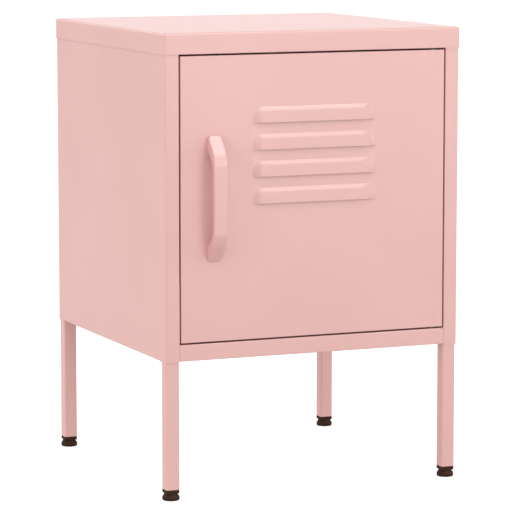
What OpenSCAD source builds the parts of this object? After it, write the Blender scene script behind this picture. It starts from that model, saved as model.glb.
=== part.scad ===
// Steel locker cabinet on four legs: one louvred door on pivot pins, a bow handle and levelling feet.
// The origin is on the floor, under the middle of the object's bounding box. The door faces -Y.

/* [Body] */
// Width of the lid
lid_w = 350; // [320:5:420]
// Depth of the lid
lid_d = 350; // [320:5:420]
// Height of the lid's top above the floor
lid_top = 505; // [490:5:620]
// Height of the lid's folded edge
lid_edge = 23; // [20:1:28]
// How far the lid stands out past the panels under it
lid_over = 1; // [0.9:0.1:2]
// Thickness of the sheet steel
sheet = 0.8; // [0.6:0.1:0.9]
// Width of the upright edge strip on each side of the door
stile_w = 16; // [16:0.5:22]
// Depth of the folds that stiffen the panels
fold = 15; // [14:0.5:16]
// Height of the cabinet floor's top above the floor of the room
floor_z = 170; // [168:1:190]
// Height of the front fold of the cabinet floor
floor_edge = 18; // [17:1:22]
// Height of the shelf's top above the cabinet floor
shelf_up = 155; // [120:5:180]

/* [Legs] */
// Width of the square leg tube
leg_w = 15; // [14:0.5:15]
// Wall of the leg tube
leg_wall = 1; // [0.8:0.1:1.5]
// Length of leg tube inside the body
leg_in = 85; // [70:5:100]
// Height of the foot and the plug's collar below the tube
foot_h = 12; // [12:0.5:16]
// Radius of the round foot
foot_r = 9.5; // [8:0.5:9.5]
// How far a foot screws out
foot_travel = 8; // [4:1:10]

/* [Door] */
// Gap between the door and what frames it
door_gap = 1.9; // [1.5:0.1:2]
// Distance of the hinge axis in from the door's edge
pivot_in = 12; // [11:0.5:14]
// Distance of the hinge axis behind the door's face
pivot_back = 5.5; // [5.3:0.1:5.6]
// Radius of both hinge pins
pin_r = 3; // [2.5:0.1:3]
// How far the upper hinge pin pulls down
pin_travel = 10; // [10:1:12]

/* [Louvres] */
// Number of louvres
louvre_count = 4; // [1:1:5]
// Width of a louvre
louvre_w = 147; // [100:1:180]
// Height of a louvre
louvre_h = 17; // [12:1:20]
// Distance from one louvre to the next
louvre_pitch = 29.2; // [24:0.1:30]
// How far a louvre stands out of the door
louvre_out = 3.5; // [2:0.5:6]
// Height of the lowest louvre's slit above the door's lower edge
louvre_up = 147.4; // [120:0.1:150]

/* [Handle] */
// Length of the handle
handle_l = 136; // [110:1:160]
// Width of the handle
handle_w = 15; // [12:1:20]
// How far the handle stands out of the door
handle_out = 21; // [19:1:30]
// Thickness of the handle's bow
handle_t = 5; // [4:0.5:6]
// Distance of the handle's middle from the door's left edge
handle_in = 38.1; // [30:0.1:60]
// Height of the handle's middle above the door's lower edge
handle_up = 155.1; // [120:0.1:170]

/* [Hidden] */
$fn = 48;
pink = [0.92, 0.75, 0.72];
steel = [0.7, 0.71, 0.73];
black = [0.13, 0.1, 0.09];
nylon = [0.16, 0.15, 0.15];
slack = 0.2;                                // room between panels that slip together
play = 0.05;                                // radial room round a pin or a screw
run = 0.4;                                  // room between pieces that pass each other

mid_y = (handle_out - lid_over) / 2;        // middle of the lid, so that the handle is in the box
lid_y0 = mid_y - lid_d / 2;
lid_y1 = mid_y + lid_d / 2;
lid_z0 = lid_top - lid_edge;
under_lid = lid_top - sheet;
side_x = lid_w / 2 - lid_over;              // outer face of a side panel
front_y = lid_y0 + lid_over;                // face of the stiles and of the door
back_y = lid_y1 - lid_over;
stile_x = side_x - stile_w;                 // inner edge of a stile
side_z0 = floor_z - floor_edge - 1;         // lower edge of the side panels
back_x = stile_x - slack;                   // half the width of the back panel

leg_x = side_x - 1 - leg_w / 2;
leg_y0 = front_y + 1 + leg_w / 2;
leg_y1 = back_y - 1 - leg_w / 2;
leg_top = side_z0 + leg_in;
stud_z = [side_z0 + 25, side_z0 + 65];      // heights of the two studs of a leg
stud_r = 2.5;
plug_z0 = foot_h - 4;
plug_top = foot_h + foot_travel + 16;
foot_stud_r = 4;
pad_h = foot_h - 4.4;

door_x = stile_x - door_gap;                // half the width of the door
door_z0 = floor_z + door_gap;
door_z1 = lid_z0 - door_gap;
door_back = front_y + fold;
pivot_x = door_x - pivot_in;
pivot_y = front_y + pivot_back;
bush_r = pin_r + 1.5;
bracket_w = fold - 2 * sheet - 0.2;         // depth of the brackets inside the door
arm_high = door_z1 - 18;                    // undersides of the upper bracket's two arms
arm_low = arm_high - pin_travel - 14;
arm_t = 1.5;
clip_t = 1;
clip_top = arm_high - 0.3;
pin_top = door_z1 + pin_travel - 0.9;      // pulls back just under the door's edge
grip_z = arm_low - 14;
spring_r = pin_r + 0.9;
wire_r = 0.4;
spring_turns = 7;

lip_w = 12;                                 // width of the lip behind the door's edge
handle_x = -door_x + handle_in;
handle_z = door_z0 + handle_up;
handle_pad = 16;                            // height of the handle's foot at each end
screw_dz = handle_l / 2 - 12;

shelf_z = floor_z + shelf_up;
door_sweep = norm([pivot_in, fold - pivot_back]);
shelf_y0 = pivot_y + door_sweep + 1;        // clear of the door's inner corner as it turns
shelf_y1 = back_y - fold - 2;
bracket_y = [shelf_y0 + 26, shelf_y1 - 27];
lid_stud_y = [mid_y - 110, mid_y + 110];
back_screw_z = [leg_top + 24, (leg_top + lid_z0) / 2, lid_z0 - 4];
screw_y = back_y - fold / 2;

catch_x = -door_x + 28.1;                   // middle of the magnetic catch
catch_w = 44;
catch_d = 18.6;
catch_h = 14;
catch_y = door_back + run;
catch_z = lid_z0 - catch_h;
magnet_w = 30;
plate_t = 1.5;

// A box from its lowest to its highest corner
module block(low, high) translate(low) cube(high - low);

// Draws its children on the left and mirrored on the right
module both_sides() {
    children();
    mirror([1, 0, 0]) children();
}

// A rod along +X, +Y or +Z from a point
module rod(at, r, h, along = [0, 0, 1]) {
    turn = along.x != 0 ? [0, 90 * along.x, 0] : along.y != 0 ? [-90 * along.y, 0, 0] : [0, 0, 0];
    translate(at) rotate(along.z < 0 ? [180, 0, 0] : turn) cylinder(r = r, h = h);
}

// A pan-head screw: the head's underside is at the point, and the shank runs along
module screw(at, r, h, along) {
    rod(at, r, h, along);
    rod(at - 2.2 * along, r * 2, 2.2, along);
}

// A hexagon nut on a round flange, from its seat along the given direction
module flange_nut(at, r, along) {
    difference() {
        union() {
            rod(at, r * 2.3, 1.2, along);
            translate(at) rotate(along.z < 0 ? [180, 0, 0] : [-90 * along.y, 0, 0])
                cylinder(r = r * 1.85, h = r * 1.8, $fn = 6);
        }
        rod(at - along, r + play, r * 1.8 + 2, along);
    }
}

// ---- body ----

module top_panel() color(pink) difference() {
    union() {
        block([-lid_w / 2, lid_y0, under_lid], [lid_w / 2, lid_y1, lid_top]);
        block([-lid_w / 2, lid_y0, lid_z0], [lid_w / 2, lid_y0 + sheet, lid_top]);
        block([-lid_w / 2, lid_y1 - sheet, lid_z0], [lid_w / 2, lid_y1, lid_top]);
        both_sides() block([-lid_w / 2, lid_y0, lid_z0], [-lid_w / 2 + sheet, lid_y1, lid_top]);
        block([-back_x, lid_y0, lid_z0], [back_x, door_back, lid_z0 + sheet]);
        block([catch_x - catch_w / 2, lid_y0, lid_z0],
            [catch_x + catch_w / 2, catch_y + catch_d, lid_z0 + sheet]);
    }
    rod([pivot_x, pivot_y, lid_z0 - 1], bush_r + play, sheet + 2);
    catch_holes(1.5, lid_z0 - 1, sheet + 2);
}

module side_panel() color(pink) difference() {
    union() {
        block([-side_x, front_y, side_z0], [-side_x + sheet, back_y, under_lid]);
        block([-side_x, front_y, side_z0], [-stile_x, front_y + sheet, under_lid]);
        block([-side_x, back_y - sheet, side_z0], [-stile_x, back_y, under_lid]);
        block([-stile_x - sheet, front_y, leg_top + 1], [-stile_x, front_y + fold, under_lid]);
        block([-stile_x - sheet, back_y - fold, leg_top + 1], [-stile_x, back_y, under_lid]);
        block([-side_x, front_y + fold + 1, under_lid - sheet],
            [-stile_x, back_y - fold - 1, under_lid]);
        block([-side_x, front_y + leg_w + 2, side_z0], [-stile_x, back_y - leg_w - 2, side_z0 + sheet]);
    }
    // chamfers on the lower corners of the two edge strips
    for (y = [front_y - 1, back_y - sheet - 1])
        translate([-stile_x, y, side_z0]) rotate([0, 45, 0])
            translate([-1.2, 0, -1.2]) cube([2.4, sheet + 2, 2.4]);
    for (y = lid_stud_y) rod([-leg_x, y, under_lid - 2], 2.2, 3);
    for (y = lid_stud_y) rod([-leg_x, y, side_z0 - 1], 2, 3);
    for (z = back_screw_z) rod([-stile_x - 2, screw_y, z], 1.5, 3, [1, 0, 0]);
}

module left_side_panel() side_panel();

module right_side_panel() mirror([1, 0, 0]) side_panel();

module back_panel() color(pink) difference() {
    union() {
        block([-back_x, back_y - sheet, side_z0 + 1], [back_x, back_y, under_lid]);
        block([-back_x, back_y - fold, under_lid - sheet], [back_x, back_y, under_lid]);
        both_sides()
            block([-back_x, back_y - fold, side_z0 + 1], [-back_x + sheet, back_y, under_lid]);
    }
    for (s = [-1, 1]) rod([s * lid_w / 4, screw_y, under_lid - 2], 2.2, 3);
    both_sides() for (z = back_screw_z) rod([-back_x - 1, screw_y, z], 1.5, 3, [1, 0, 0]);
}

module bottom_panel() color(pink) {
    wide = side_x - sheet - 0.1;
    notch = leg_w + 1.2;                    // the floor is cut away round the legs
    rear = back_y - sheet - 0.1;
    narrow = back_x - sheet - 0.2;
    fold_z = side_z0 + sheet + 0.1;
    difference() {
        union() {
            block([-wide, front_y + notch, floor_z - sheet], [wide, back_y - notch, floor_z]);
            block([-back_x, front_y, floor_z - sheet], [back_x, front_y + notch, floor_z]);
            block([-narrow, back_y - notch, floor_z - sheet], [narrow, rear, floor_z]);
            block([-back_x, front_y, side_z0 + 1], [back_x, front_y + sheet, floor_z]);
            block([-back_x, front_y, side_z0 + 1], [back_x, front_y + fold, side_z0 + 1 + sheet]);
            block([-narrow, rear - sheet, side_z0 + 1], [narrow, rear, floor_z]);
            both_sides() {
                block([-wide, front_y + notch, fold_z], [-wide + sheet, back_y - notch, floor_z]);
                block([-wide, front_y + notch, fold_z], [-stile_x, back_y - notch, fold_z + sheet]);
            }
        }
        rod([pivot_x, pivot_y, floor_z - 3], pin_r + play, 5);
        both_sides() for (y = lid_stud_y) rod([-leg_x, y, fold_z - 1], 2, 3);
    }
}

module shelf() color(pink) {
    wide = side_x - sheet - 0.8;
    block([-wide, shelf_y0, shelf_z - sheet], [wide, shelf_y1, shelf_z]);
    block([-wide, shelf_y0, shelf_z - fold], [wide, shelf_y0 + sheet, shelf_z]);
    block([-wide, shelf_y1 - sheet, shelf_z - fold], [wide, shelf_y1, shelf_z]);
    both_sides() block([-wide, shelf_y0, shelf_z - fold], [-wide + sheet, shelf_y1, shelf_z]);
}

// Angle brackets spot-welded inside the side panels, under the shelf's ends
module shelf_brackets() color(pink) both_sides() for (y = bracket_y) {
    x = -side_x + sheet;
    top = shelf_z - fold;
    block([x, y - 9, top - arm_t], [x + 13, y + 9, top]);
    block([x, y - 9, top - 14], [x + arm_t, y + 9, top]);
}

// ---- legs and feet ----

module rounded_square(w, r) {
    square([w - 2 * r, w], center = true);
    square([w, w - 2 * r], center = true);
    for (x = [-1, 1], y = [-1, 1]) translate([x, y] * (w / 2 - r)) circle(r);
}

// A leg tube with a pair of stud holes through its front and back walls
module leg(x, y) color(pink) difference() {
    translate([x, y, foot_h]) linear_extrude(leg_top - foot_h) difference() {
        rounded_square(leg_w, 1.5);
        square(leg_w - 2 * leg_wall, center = true);
    }
    for (z = stud_z) rod([x, y - leg_w, z], stud_r + slack, 2 * leg_w, [0, 1, 0]);
}

module front_left_leg() leg(-leg_x, leg_y0);
module front_right_leg() leg(leg_x, leg_y0);
module rear_left_leg() leg(-leg_x, leg_y1);
module rear_right_leg() leg(leg_x, leg_y1);

// Studs welded inside the stiles, through the legs
module leg_studs() color(steel) both_sides() for (z = stud_z) {
    rod([-leg_x, front_y + sheet, z], stud_r, leg_w + 7, [0, 1, 0]);
    rod([-leg_x, back_y - sheet, z], stud_r, leg_w + 7, [0, -1, 0]);
}

module leg_nuts() color(steel) both_sides() for (z = stud_z) {
    flange_nut([-leg_x, leg_y0 + leg_w / 2, z], stud_r, [0, 1, 0]);
    flange_nut([-leg_x, leg_y1 - leg_w / 2, z], stud_r, [0, -1, 0]);
}

// The square plug in the end of a leg: a collar under the tube and a threaded bore
module plug(x, y) color(black) difference() {
    union() {
        translate([x, y, plug_z0]) linear_extrude(foot_h - plug_z0) rounded_square(leg_w, 1.5);
        w = leg_w - 2 * leg_wall - 0.1;
        block([x - w / 2, y - w / 2, foot_h - 1], [x + w / 2, y + w / 2, plug_top]);
    }
    rod([x, y, plug_z0 - 1], foot_stud_r, plug_top - plug_z0 + 2);
}

module front_left_plug() plug(-leg_x, leg_y0);
module front_right_plug() plug(leg_x, leg_y0);
module rear_left_plug() plug(-leg_x, leg_y1);
module rear_right_plug() plug(leg_x, leg_y1);

// The round pad that stands on the floor, moulded round the end of its stud
module foot(x, y) color(black) difference() {
    edge = pad_h / 2 - 0.6;
    translate([x, y, 0]) rotate_extrude() {
        square([foot_r - edge, 2 * edge]);
        square([foot_r - 1.8, pad_h]);
        translate([foot_r - edge, edge]) circle(edge);
    }
    rod([x, y, 2], foot_stud_r, pad_h);
}

module front_left_foot() foot(-leg_x, leg_y0);
module front_right_foot() foot(leg_x, leg_y0);
module rear_left_foot() foot(-leg_x, leg_y1);
module rear_right_foot() foot(leg_x, leg_y1);

module foot_stud(x, y) color(steel) rod([x, y, 2], foot_stud_r - play, plug_top - 6);

module front_left_foot_stud() foot_stud(-leg_x, leg_y0);
module front_right_foot_stud() foot_stud(leg_x, leg_y0);
module rear_left_foot_stud() foot_stud(-leg_x, leg_y1);
module rear_right_foot_stud() foot_stud(leg_x, leg_y1);

// ---- fasteners of the body ----

// Places its children at every stud under the lid, as height offsets from the lid's underside
module at_lid_studs() {
    both_sides() for (y = lid_stud_y) translate([-leg_x, y, under_lid]) children();
    for (s = [-1, 1]) translate([s * lid_w / 4, screw_y, under_lid]) children();
}

module lid_studs() color(steel) at_lid_studs() rod([0, 0, 0], 2, 12, [0, 0, -1]);

module lid_nuts() color(steel) at_lid_studs() flange_nut([0, 0, -sheet], 2, [0, 0, -1]);

module back_screws() color(steel) both_sides() for (z = back_screw_z)
    screw([-back_x + sheet, screw_y, z], 1.45, 6, [-1, 0, 0]);

module bottom_screws() color(steel) both_sides() for (y = lid_stud_y)
    screw([-leg_x, y, side_z0], 1.95, 9, [0, 0, 1]);

// ---- magnetic catch ----

module catch_holes(r, z, h) for (s = [-1, 1])
    rod([catch_x + s * (catch_w / 2 - 3.5), catch_y + catch_d / 2, z], r, h);

module catch_housing() color(black) difference() {
    block([catch_x - catch_w / 2, catch_y + 0.2, catch_z],
        [catch_x + catch_w / 2, catch_y + catch_d, lid_z0]);
    block([catch_x - magnet_w / 2, catch_y - 1, catch_z + 2],
        [catch_x + magnet_w / 2, catch_y + 14, catch_z + catch_h - 2.5]);
    catch_holes(1.5, catch_z - 1, catch_h + 2);
}

module catch_magnet() color([0.3, 0.3, 0.32])
    block([catch_x - magnet_w / 2 + 0.1, catch_y + 1, catch_z + 2 + plate_t],
        [catch_x + magnet_w / 2 - 0.1, catch_y + 13.9, catch_z + catch_h - 2.5 - plate_t]);

module catch_plates() color(steel) for (z = [catch_z + 2, catch_z + catch_h - 2.5 - plate_t])
    block([catch_x - magnet_w / 2 + 0.1, catch_y, z],
        [catch_x + magnet_w / 2 - 0.1, catch_y + 13.9, z + plate_t]);

module catch_screws() color(steel) for (s = [-1, 1])
    screw([catch_x + s * (catch_w / 2 - 3.5), catch_y + catch_d / 2, catch_z], 1.45, catch_h + 4, [0, 0, 1]);

// ---- hinges ----

module upper_hinge_bush() color(nylon) difference() {
    union() {
        rod([pivot_x, pivot_y, door_z1 + run], bush_r + 0.6, door_gap - run);
        rod([pivot_x, pivot_y, lid_z0 - 0.5], bush_r, 9.5);
    }
    rod([pivot_x, pivot_y, door_z1], pin_r + play, 14);
}

// Riveted in the cabinet floor, with its head underneath
module lower_hinge_pin() color(steel) {
    rod([pivot_x, pivot_y, floor_z - sheet - 2.5], pin_r + 1.5, 2.5);
    rod([pivot_x, pivot_y, floor_z - sheet - 1], pin_r, 15);
}

module lower_hinge_bush() color(nylon) difference() {
    union() {
        rod([pivot_x, pivot_y, floor_z + run], bush_r + 0.6, door_gap - run);
        rod([pivot_x, pivot_y, door_z0 - 0.5], bush_r, 5);
    }
    rod([pivot_x, pivot_y, floor_z], pin_r + play, 8);
}

// Stiffens the door's lower fold round the bush
module lower_hinge_plate() color(steel) difference() {
    block([pivot_x - 20, front_y + sheet + 0.1, door_z0 + sheet],
        [door_x - sheet - 0.1, front_y + sheet + bracket_w, door_z0 + sheet + 2]);
    rod([pivot_x, pivot_y, door_z0], bush_r + play, 4);
}

// The bracket inside the door's upper corner that guides the sprung pin
module upper_hinge_bracket() color(steel) difference() {
    y0 = front_y + sheet + 0.1;
    y1 = front_y + sheet + bracket_w;
    x1 = door_x - sheet - 0.1;
    union() {
        for (z = [arm_low, arm_high]) block([pivot_x - 8, y0, z], [x1, y1, z + arm_t]);
        block([x1 - arm_t, y0, arm_low], [x1, y1, arm_high + arm_t]);
    }
    rod([pivot_x, pivot_y, arm_low - 1], pin_r + play, arm_high - arm_low + 4);
}

// The sprung pin, bent at its lower end for a finger, with a groove for its clip
module upper_hinge_pin() color(steel) {
    bend = pin_r * 2;
    difference() {
        rod([pivot_x, pivot_y, grip_z + bend], pin_r, pin_top - grip_z - bend);
        difference() {
            rod([pivot_x, pivot_y, clip_top - clip_t - 0.05], pin_r + 1, clip_t + 0.1);
            rod([pivot_x, pivot_y, clip_top - clip_t - 1], pin_r - 0.5, clip_t + 2);
        }
    }
    translate([pivot_x - bend, pivot_y, grip_z + bend]) rotate([-90, 0, 0])
        rotate_extrude(angle = 90) translate([bend, 0]) circle(pin_r);
    rod([pivot_x - bend, pivot_y, grip_z], pin_r, 10, [-1, 0, 0]);
}

module upper_pin_clip() color(steel) difference() {
    rod([pivot_x, pivot_y, clip_top - clip_t], pin_r + 1.5, clip_t);
    rod([pivot_x, pivot_y, clip_top - clip_t - 1], pin_r - 0.45, clip_t + 2);
}

// One ring of points round the spring's wire at a given share of its length
function wire_ring(t, z0, rise, sides) = let (a = 360 * spring_turns * t)
    [for (i = [0:sides - 1]) let (b = 360 * i / sides, r = spring_r + wire_r * cos(b))
        [pivot_x + r * cos(a), pivot_y + r * sin(a), z0 + rise * t + wire_r * sin(b)]];

module upper_pin_spring() color(steel) {
    sides = 6;
    rings = spring_turns * 12;
    z0 = arm_low + arm_t + wire_r + 0.05;
    rise = clip_top - clip_t - wire_r - 0.05 - z0;
    walls = [for (k = [0:rings - 1], i = [0:sides - 1]) let (j = (i + 1) % sides)
        [k * sides + i, (k + 1) * sides + i, (k + 1) * sides + j, k * sides + j]];
    polyhedron(
        points = [for (k = [0:rings]) each wire_ring(k / rings, z0, rise, sides)],
        faces = concat(walls, [[for (i = [0:sides - 1]) i]],
            [[for (i = [sides - 1:-1:0]) rings * sides + i]]));
}

// ---- door ----

// A louvre's block: a side profile run across it, cut to an outline with round upper corners
module louvre_form(w, h, out, corner, low) {
    slope = out * 1.2;
    intersection() {
        translate([-w / 2, 0, 0]) rotate([90, 0, 90]) linear_extrude(w)
            polygon([[2, low], [2, h + slope], [0, h], [-out, h - slope], [-out, low]]);
        translate([0, 2, 0]) rotate([90, 0, 0]) linear_extrude(out + 2) union() {
            translate([-w / 2, low]) square([w, h - corner - low]);
            translate([-w / 2 + corner, low]) square([w - 2 * corner, h - low]);
            for (s = [-1, 1]) translate([s * (w / 2 - corner), h - corner]) circle(corner);
        }
    }
}

module door_panel() color(pink) {
    lip = lip_w - 4;
    difference() {
        union() {
            block([-door_x, front_y, door_z0], [door_x, front_y + sheet, door_z1]);
            both_sides() {
                block([-door_x, front_y, door_z0], [-door_x + sheet, door_back, door_z1]);
                block([-door_x, door_back - sheet, door_z0], [-door_x + lip, door_back, door_z1]);
            }
            for (z = [door_z0, door_z1 - sheet])
                block([-door_x, front_y, z], [door_x, door_back, z + sheet]);
            block([-door_x, door_back - sheet, door_z0], [door_x, door_back, door_z0 + lip]);
            block([-door_x, door_back - sheet, door_z1 - lip_w], [door_x, door_back, door_z1]);
            for (i = [0:louvre_count - 1]) translate([0, front_y, door_z0 + louvre_up + i * louvre_pitch])
                intersection() {
                    louvre_form(louvre_w, louvre_h, louvre_out, 12, 0);
                    translate([-lid_w, -louvre_out, -1]) cube([2 * lid_w, louvre_out + sheet, 2 * louvre_h]);
                }
        }
        for (i = [0:louvre_count - 1]) translate([0, front_y + sheet, door_z0 + louvre_up + i * louvre_pitch])
            louvre_form(louvre_w - 2 * sheet, louvre_h - sheet, louvre_out, 12 - sheet, -sheet);
        rod([pivot_x, pivot_y, door_z0 - 1], bush_r + play, sheet + 2);
        rod([pivot_x, pivot_y, door_z1 - sheet - 1], pin_r + 0.3, sheet + 2);
        for (s = [-1, 1])
            rod([handle_x, front_y - 1, handle_z + s * screw_dz], 2.2, sheet + 2, [0, 1, 0]);
    }
}

// The side view of the bow at a given inset from its outer face
module bow_outline(base, front, out, r) hull() {
    translate([-0.1, -base]) square([0.1, 2 * base]);
    for (s = [-1, 1]) translate([out - r, s * front]) circle(r);
}

module door_handle() color(pink) difference() {
    translate([handle_x + handle_w / 2, front_y, handle_z]) rotate([90, 0, -90])
        linear_extrude(handle_w) difference() {
            intersection() {
                bow_outline(handle_l / 2, handle_l / 2 - 26, handle_out, 9);
                translate([0, -handle_l]) square(2 * handle_l);
            }
            translate([-0.2, 0])
                bow_outline(handle_l / 2 - handle_pad, handle_l / 2 - 33, handle_out - handle_t + 0.2, 6);
        }
    for (s = [-1, 1])
        rod([handle_x, front_y + 1, handle_z + s * screw_dz], 2, 7.5, [0, -1, 0]);
}

module handle_screws() color(steel) for (s = [-1, 1])
    screw([handle_x, front_y + sheet, handle_z + s * screw_dz], 1.95, 6.5, [0, -1, 0]);

top_panel();
left_side_panel();
right_side_panel();
back_panel();
bottom_panel();
shelf();
shelf_brackets();
front_left_leg();
front_right_leg();
rear_left_leg();
rear_right_leg();
leg_studs();
leg_nuts();
front_left_plug();
front_right_plug();
rear_left_plug();
rear_right_plug();
front_left_foot();
front_right_foot();
rear_left_foot();
rear_right_foot();
front_left_foot_stud();
front_right_foot_stud();
rear_left_foot_stud();
rear_right_foot_stud();
lid_studs();
lid_nuts();
back_screws();
bottom_screws();
catch_housing();
catch_magnet();
catch_plates();
catch_screws();
upper_hinge_bush();
lower_hinge_pin();
lower_hinge_bush();
lower_hinge_plate();
door_panel();
door_handle();
handle_screws();
upper_hinge_bracket();
upper_hinge_pin();
upper_pin_clip();
upper_pin_spring();
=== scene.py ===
# Steel locker cabinet: folded body on four legs, louvred door on pivot pins, bow handle, levelling feet
import math

import bmesh
import bpy
from mathutils import Matrix, Vector


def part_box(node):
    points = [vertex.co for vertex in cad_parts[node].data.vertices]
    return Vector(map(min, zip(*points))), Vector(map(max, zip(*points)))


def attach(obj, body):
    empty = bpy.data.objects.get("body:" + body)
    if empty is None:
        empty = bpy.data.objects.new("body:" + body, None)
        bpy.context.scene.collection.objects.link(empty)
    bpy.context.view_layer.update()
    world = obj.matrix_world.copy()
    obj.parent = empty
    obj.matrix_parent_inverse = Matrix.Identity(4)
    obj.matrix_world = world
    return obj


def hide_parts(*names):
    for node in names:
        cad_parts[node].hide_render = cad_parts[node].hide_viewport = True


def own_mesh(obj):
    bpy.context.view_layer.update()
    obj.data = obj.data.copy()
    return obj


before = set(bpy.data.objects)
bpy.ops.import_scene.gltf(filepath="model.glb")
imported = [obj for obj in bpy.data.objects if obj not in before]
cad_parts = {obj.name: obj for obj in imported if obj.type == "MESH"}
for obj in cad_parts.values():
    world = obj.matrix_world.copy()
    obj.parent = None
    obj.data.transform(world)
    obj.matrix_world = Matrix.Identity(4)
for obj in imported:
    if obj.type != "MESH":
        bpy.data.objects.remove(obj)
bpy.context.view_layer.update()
scene = bpy.context.scene
mm = 0.001
slack = 0.02 * mm              # places closer than this count as the same

sheetMetal = {
    "thickness": 0.8 * mm,
    "cutEdge": 0.15 * mm,      # rounding left on a cut edge by the coating
    "bend": 1.0 * mm,          # outer radius of a fold that isn't seen much
    "sharp": math.radians(32),  # more than the 30 degrees between the steps of a bend
}


# Picking and shaping helpers

def within(co, axis, span):    # span is one place along an axis, or a (low, high) pair
    low, high = span if isinstance(span, tuple) else (span, span)
    return low - slack <= getattr(co, axis) <= high + slack


def pick(items, **where):      # the items whose corners all lie at x=, y= and z=
    return [i for i in items if all(within(v.co, axis, span) for v in getattr(i, "verts", [i])
                                    for axis, span in where.items())]


def cornersOf(items):          # the points of some edges or faces
    return list({v for i in items for v in i.verts})


def newOnes(made, kind):
    return [g for g in made["geom"] if isinstance(g, kind)]


def newVerts(made):
    return newOnes(made, bmesh.types.BMVert)


def pressOut(bm, faces, by):   # moves faces by a vector and walls the way back; gives the moved faces
    made = bmesh.ops.extrude_face_region(bm, geom=faces)
    bmesh.ops.delete(bm, geom=faces, context="FACES_ONLY")
    bmesh.ops.translate(bm, verts=newVerts(made), vec=by)
    return newOnes(made, bmesh.types.BMFace)


def foldOut(bm, edges, by):    # a flange: the edges pulled out by a vector; gives back its free edges
    made = bmesh.ops.extrude_edge_only(bm, edges=edges)
    verts = newVerts(made)
    bmesh.ops.translate(bm, verts=verts, vec=by)
    return [e for e in bm.edges if e.verts[0] in verts and e.verts[1] in verts]


def roundEdges(bm, edges, radius, segments=3):
    bmesh.ops.bevel(bm, geom=edges, offset=radius, offset_type="OFFSET", segments=segments,
                    profile=0.5, affect="EDGES", material=-1)


def roundCorners(bm, verts, radius, segments=4):
    bmesh.ops.bevel(bm, geom=verts, offset=radius, offset_type="OFFSET", segments=segments,
                    profile=0.5, affect="VERTICES", material=-1)


def folds(items):              # edges where two faces meet at more than a shallow angle
    return [e for e in items if e.is_manifold and e.calc_face_angle() > sheetMetal["sharp"]]


def cutAt(bm, axis, *places):  # adds edges where planes across an axis pass through the mesh
    normal = {"x": (1, 0, 0), "y": (0, 1, 0), "z": (0, 0, 1)}[axis]
    for place in places:
        bmesh.ops.bisect_plane(bm, geom=bm.verts[:] + bm.edges[:] + bm.faces[:],
                               plane_co=[place * n for n in normal], plane_no=normal)


def faceOut(bm):
    bmesh.ops.recalc_face_normals(bm, faces=bm.faces[:])


def faceTowards(bm, direction):    # for an open shell: the face furthest that way looks that way
    faceOut(bm)
    direction = Vector(direction)
    far = max(bm.faces, key=lambda f: (round(f.calc_center_median().dot(direction), 5),
                                       f.calc_area()))
    if far.normal.dot(direction) < 0:
        bmesh.ops.reverse_faces(bm, faces=bm.faces[:])


def shift(bm, by):
    bmesh.ops.translate(bm, verts=bm.verts[:], vec=by)


def boxShape(low, high):
    bm = bmesh.new()
    bmesh.ops.create_cube(bm, size=1)
    bmesh.ops.scale(bm, verts=bm.verts[:], vec=high - low)
    shift(bm, (low + high) / 2)
    return bm


def panShape(low, high, radius, segments=3):   # a folded tray, open below, with closed corners
    bm = boxShape(low, high)
    bmesh.ops.delete(bm, geom=pick(bm.faces, z=low.z), context="FACES")
    roundEdges(bm, folds(bm.edges), radius, segments)
    return bm


def runStrip(path, by):        # a strip of sheet along a path, as wide as a vector
    bm = bmesh.new()
    verts = [bm.verts.new(point) for point in path]
    edges = [bm.edges.new(pair) for pair in zip(verts, verts[1:])]
    foldOut(bm, edges, by)
    return bm


def placed(bm, at, along=(0, 0, 1)):   # turns +Z towards a direction and moves the origin to a point
    turn = Vector((0, 0, 1)).rotation_difference(Vector(along)).to_matrix().to_4x4()
    bmesh.ops.transform(bm, matrix=Matrix.Translation(at) @ turn, verts=bm.verts[:])
    return bm


def standIn(bm, low, high):    # moves the origin to the middle of a box's underside
    return placed(bm, ((low.x + high.x) / 2, (low.y + high.y) / 2, low.z))


def gathered(parts):           # several shapes as one mesh
    whole = bmesh.new()
    for part in parts:
        mesh = bpy.data.meshes.new("part")
        part.to_mesh(mesh)
        part.free()
        whole.from_mesh(mesh)
        bpy.data.meshes.remove(mesh)
    return whole


def turned(profile, steps=32, closed=False):   # a lathe profile of (radius, height) pairs, spun round Z
    bm = bmesh.new()
    verts = [bm.verts.new((radius, 0, height)) for radius, height in profile]
    pairs = list(zip(verts, verts[1:])) + ([(verts[-1], verts[0])] if closed else [])
    edges = [bm.edges.new(pair) for pair in pairs]
    bmesh.ops.spin(bm, geom=verts + edges, cent=(0, 0, 0), axis=(0, 0, 1),
                   angle=2 * math.pi, steps=steps, use_merge=True)
    bmesh.ops.remove_doubles(bm, verts=bm.verts[:], dist=0.001 * mm)
    faceOut(bm)
    return bm


threadLook = {"depth": 0.3, "crestStart": 0.35, "crestEnd": 0.6}     # shares of the pitch


def threadProfile(radius, start, end, pitch):  # ridges from one height to another
    root = radius - threadLook["depth"] * pitch
    profile = []
    for i in range(int((end - start) / pitch)):
        low = start + i * pitch
        profile += [(root, low), (radius, low + threadLook["crestStart"] * pitch),
                    (radius, low + threadLook["crestEnd"] * pitch)]
    return profile + [(root, end)]


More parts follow.
